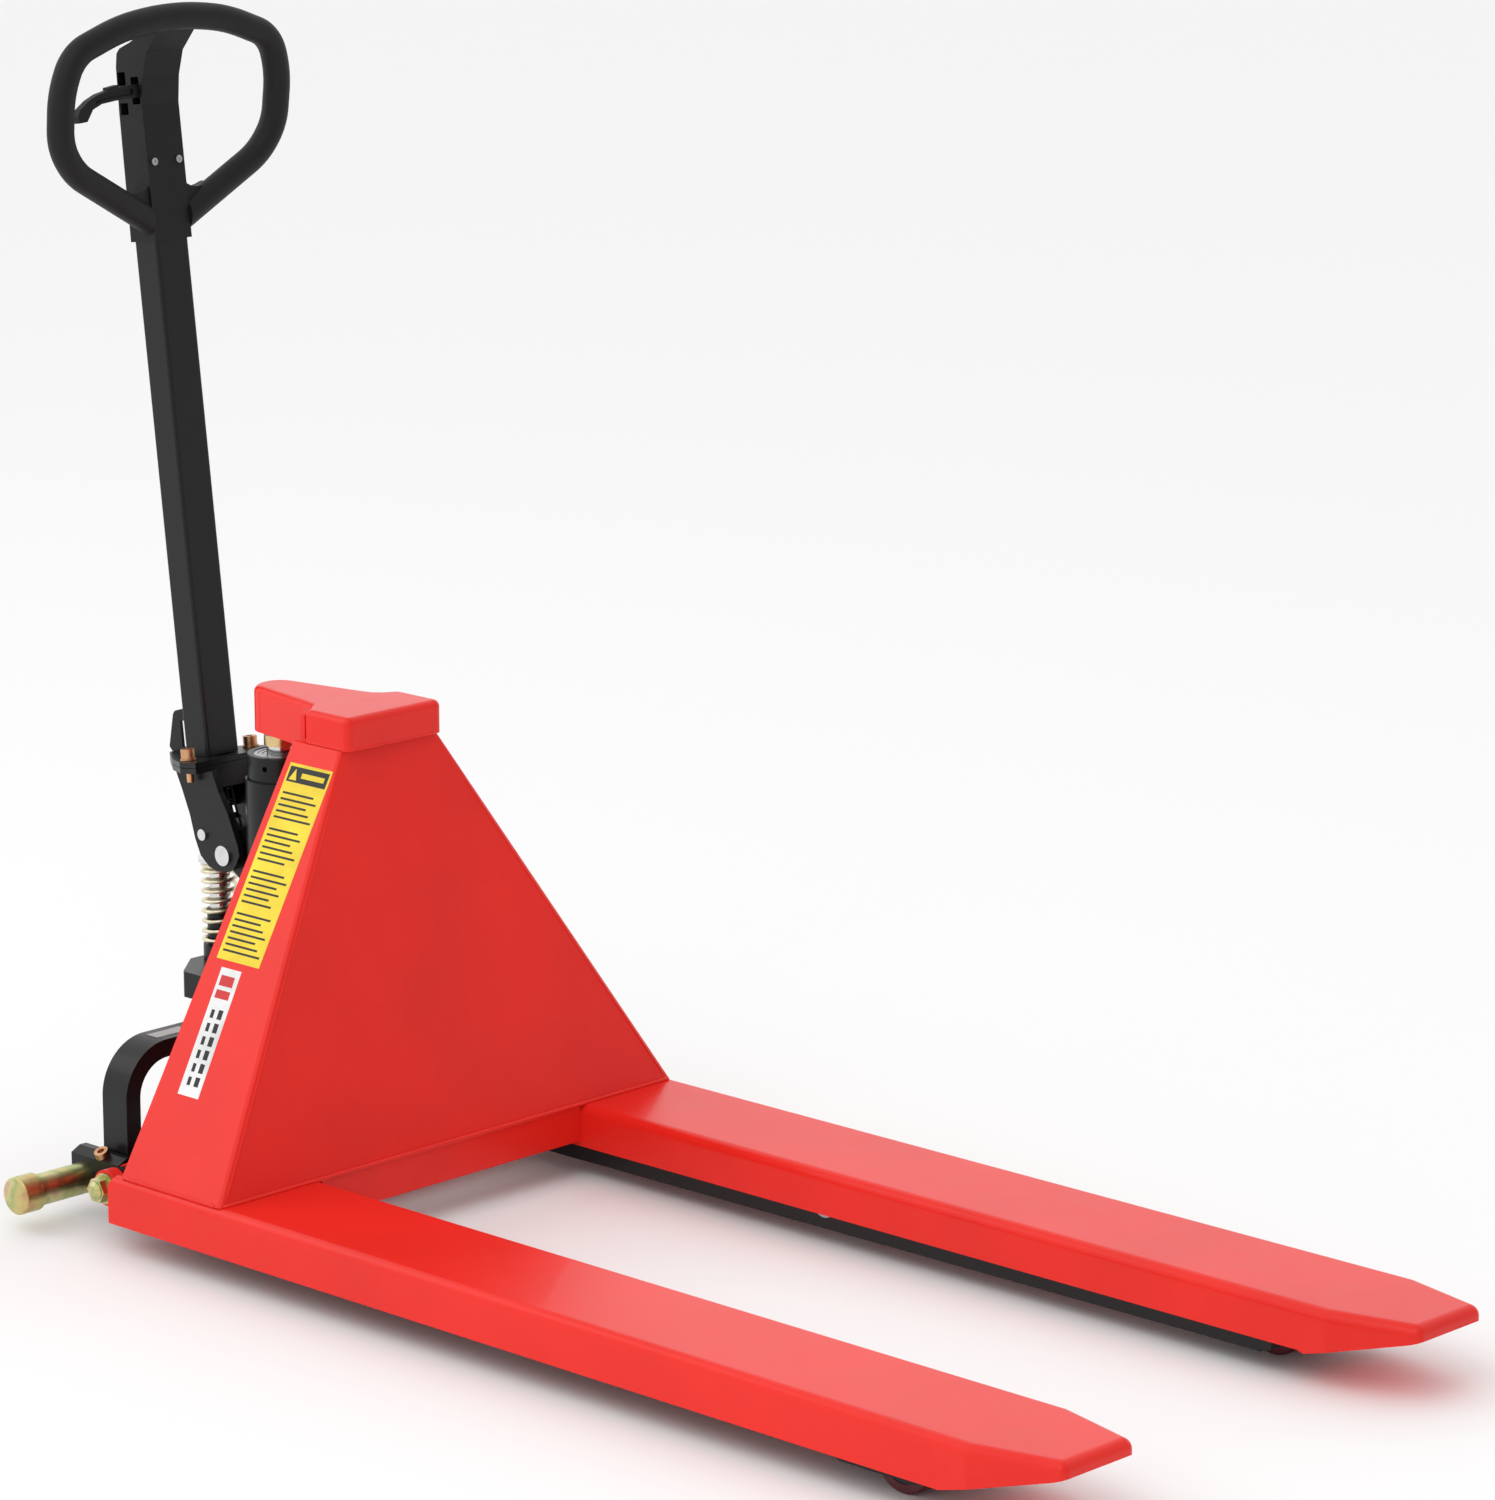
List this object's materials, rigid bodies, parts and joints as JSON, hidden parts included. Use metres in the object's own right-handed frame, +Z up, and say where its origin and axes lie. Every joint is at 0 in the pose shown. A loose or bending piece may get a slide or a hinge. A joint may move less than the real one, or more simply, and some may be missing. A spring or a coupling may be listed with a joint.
{
  "type": "scissor lift pallet truck",
  "caption": "Manual high-lift pallet jack: two long forks raised by a folding scissor and a hand-pumped ram, with a steered wheel pair and a loop handle.",
  "frame": {"origin": "on the floor under the middle of the truck's overall box, forks down and handle upright", "axes": "+X along the forks towards their tips, +Y to the operator's left hand side, +Z up"},
  "size_m": [1.6431, 0.736, 1.294],
  "materials": {
    "red_paint": "glossy red powder coat",
    "black_paint": "semi-gloss black paint",
    "zinc_yellow": "yellow chromated zinc plate, iridescent",
    "copper_zinc": "copper-coloured plated socket screws",
    "chrome": "hard chrome, polished",
    "brass": "turned brass",
    "steel": "turned steel, lightly oiled",
    "spring_zinc": "pale yellow zinc-plated spring wire",
    "grip_plastic": "fine-grained moulded black nylon",
    "steer_tyre": "solid black rubber tread",
    "cast_hub": "painted cast hub",
    "load_tyre": "dark red polyurethane tread"
  },
  "bodies": {
    "chassis": {"arch": "black_paint", "floor_pivot_pins": "steel", "thrust_washer": "steel"},
    "steering": {"pump_block": "black_paint", "lift_cylinder": "black_paint", "gland_nut": "black_paint", "pump_turret": "black_paint", "handle_hinge_pin": "chrome", "wheel_bracket": "black_paint", "wheel_axle": "steel", "steer_bearings": "steel"},
    "right_steer_wheel": {"right_steer_tyre": "steer_tyre", "right_steer_hub": "cast_hub"},
    "left_steer_wheel": {"left_steer_tyre": "steer_tyre", "left_steer_hub": "cast_hub"},
    "handle": {"handle_bracket": "black_paint", "handle_flange": "black_paint", "flange_bolts": "copper_zinc", "roller_pin": "chrome", "handle_tube": "black_paint", "grip_housing": "grip_plastic", "grip_loop": "grip_plastic", "grip_screws": "steel", "release_lever_pin": "steel"},
    "pressure_roller_body": {"pressure_roller": "steel"},
    "piston": {"pump_piston": "chrome", "pump_spring": "spring_zinc"},
    "finger_lever": {"release_lever": "grip_plastic"},
    "release_linkage": {"release_rod": "steel", "release_chain": "black_paint"},
    "valve_arm": {"valve_lever": "black_paint"},
    "inner_arms": {"inner_scissor_arms": "black_paint", "guide_roller_pins": "steel"},
    "right_guide_wheel": {"right_guide_roller": "steel"},
    "left_guide_wheel": {"left_guide_roller": "steel"},
    "outer_arms": {"outer_scissor_arms": "black_paint", "centre_pivot_pins": "steel", "load_roller_axles": "steel", "load_roller_bearings": "steel"},
    "right_load_wheel": {"right_load_tyre": "load_tyre", "right_load_hub": "cast_hub"},
    "left_load_wheel": {"left_load_tyre": "load_tyre", "left_load_hub": "cast_hub"},
    "fork_frame": {"right_fork": "red_paint", "left_fork": "red_paint", "right_side_panel": "red_paint", "left_side_panel": "red_paint", "front_panel": "red_paint", "head_cap": "red_paint", "cross_beam": "red_paint", "fork_pivot_lugs": "red_paint", "fork_pivot_bolts": "zinc_yellow", "ram": "chrome", "ram_collar": "brass"},
    "outer_stage": {"ram_stage_outer": "steel"},
    "middle_stage": {"ram_stage_middle": "steel"},
    "inner_stage": {"ram_stage_inner": "steel"},
    "stabilisers": {"stabiliser_levers": "black_paint", "stabiliser_feet": "zinc_yellow", "stabiliser_bolts": "copper_zinc"}
  },
  "joints": [
    {"name": "steer_turn", "type": "hinge", "parent": "chassis", "child": "steering", "pos_m": [-0.59945, 0, 0], "axis": [0, 0, 1], "range_deg": [-90, 90]},
    {"name": "right_steer_spin", "type": "hinge", "parent": "steering", "child": "right_steer_wheel", "pos_m": [-0.59945, -0.045, 0.075], "axis": [0, 1, 0], "continuous": true},
    {"name": "left_steer_spin", "type": "hinge", "parent": "steering", "child": "left_steer_wheel", "pos_m": [-0.59945, 0.045, 0.075], "axis": [0, 1, 0], "continuous": true},
    {"name": "handle_tilt", "type": "hinge", "parent": "steering", "child": "handle", "pos_m": [-0.65545, 0, 0.357], "axis": [0, -1, 0], "range_deg": [0, 75], "stiffness_Nm_per_rad": 26, "springref_deg": -14.32},
    {"name": "pressure_roller_spin", "type": "hinge", "parent": "handle", "child": "pressure_roller_body", "pos_m": [-0.68935, 0, 0.3754], "axis": [0, 1, 0], "continuous": true},
    {"name": "pump_stroke", "type": "slide", "parent": "steering", "child": "piston", "axis": [0, 0, -1], "range_m": [0, 0.0496], "deforming": ["pump_spring"]},
    {"name": "release_lever_pull", "type": "hinge", "parent": "handle", "child": "finger_lever", "pos_m": [-0.78742, 0.015, 1.19738], "axis": [-0.9933, 0, -0.1155], "range_deg": [-8, 8], "stiffness_Nm_per_rad": 1.6},
    {"name": "release_rod_slide", "type": "slide", "parent": "handle", "child": "release_linkage", "axis": [-0.1155, 0, 0.9933], "range_m": [-0.0022, 0.0022]},
    {"name": "valve_lever_turn", "type": "hinge", "parent": "steering", "child": "valve_arm", "pos_m": [-0.62345, 0.046, 0.25], "axis": [0, -1, 0], "range_deg": [-5, 5]},
    {"name": "scissor_lift", "type": "hinge", "parent": "chassis", "child": "inner_arms", "pos_m": [-0.53745, 0, 0.037], "axis": [0, -1, 0], "range_deg": [0, 38.79]},
    {"name": "scissor_cross", "type": "hinge", "parent": "inner_arms", "child": "outer_arms", "pos_m": [0.03705, 0, 0.048], "axis": [0, -1, 0], "range_deg": [-77.68, 0]},
    {"name": "frame_level", "type": "hinge", "parent": "outer_arms", "child": "fork_frame", "pos_m": [-0.53745, 0, 0.059], "axis": [0, -1, 0], "range_deg": [0, 38.89]},
    {"name": "ram_outer_slide", "type": "slide", "parent": "chassis", "child": "outer_stage", "axis": [0, 0, 1], "range_m": [0, 0.17935]},
    {"name": "ram_middle_slide", "type": "slide", "parent": "chassis", "child": "middle_stage", "axis": [0, 0, 1], "range_m": [0, 0.3581]},
    {"name": "ram_inner_slide", "type": "slide", "parent": "chassis", "child": "inner_stage", "axis": [0, 0, 1], "range_m": [0, 0.53685]},
    {"name": "right_guide_spin", "type": "hinge", "parent": "inner_arms", "child": "right_guide_wheel", "pos_m": [0.61154, -0.22325, 0.059], "axis": [0, 1, 0], "continuous": true},
    {"name": "left_guide_spin", "type": "hinge", "parent": "inner_arms", "child": "left_guide_wheel", "pos_m": [0.61154, 0.22325, 0.059], "axis": [0, 1, 0], "continuous": true},
    {"name": "right_load_spin", "type": "hinge", "parent": "outer_arms", "child": "right_load_wheel", "pos_m": [0.61154, -0.279, 0.037], "axis": [0, 1, 0], "continuous": true},
    {"name": "left_load_spin", "type": "hinge", "parent": "outer_arms", "child": "left_load_wheel", "pos_m": [0.61154, 0.279, 0.037], "axis": [0, 1, 0], "continuous": true},
    {"name": "stabiliser_swing", "type": "hinge", "parent": "chassis", "child": "stabilisers", "pos_m": [-0.53745, 0, 0.037], "axis": [0, -1, 0], "range_deg": [0, 13.5]}
  ],
  "couplings": [
    {"joint": "scissor_cross", "follows": "scissor_lift", "ratio": -2},
    {"joint": "frame_level", "follows": "scissor_lift", "ratio": 1},
    {"joint": "ram_outer_slide", "follows": "scissor_lift", "m_per_rad": 0.26403},
    {"joint": "ram_middle_slide", "follows": "scissor_lift", "m_per_rad": 0.52806},
    {"joint": "ram_inner_slide", "follows": "scissor_lift", "m_per_rad": 0.79208},
    {"joint": "stabiliser_swing", "follows": "scissor_lift", "ratio": 0.345},
    {"joint": "pump_stroke", "follows": "handle_tilt", "m_per_rad": 0.0377},
    {"joint": "release_rod_slide", "follows": "release_lever_pull", "m_per_rad": 0.015},
    {"joint": "valve_lever_turn", "follows": "release_lever_pull", "ratio": 0.6}
  ]
}
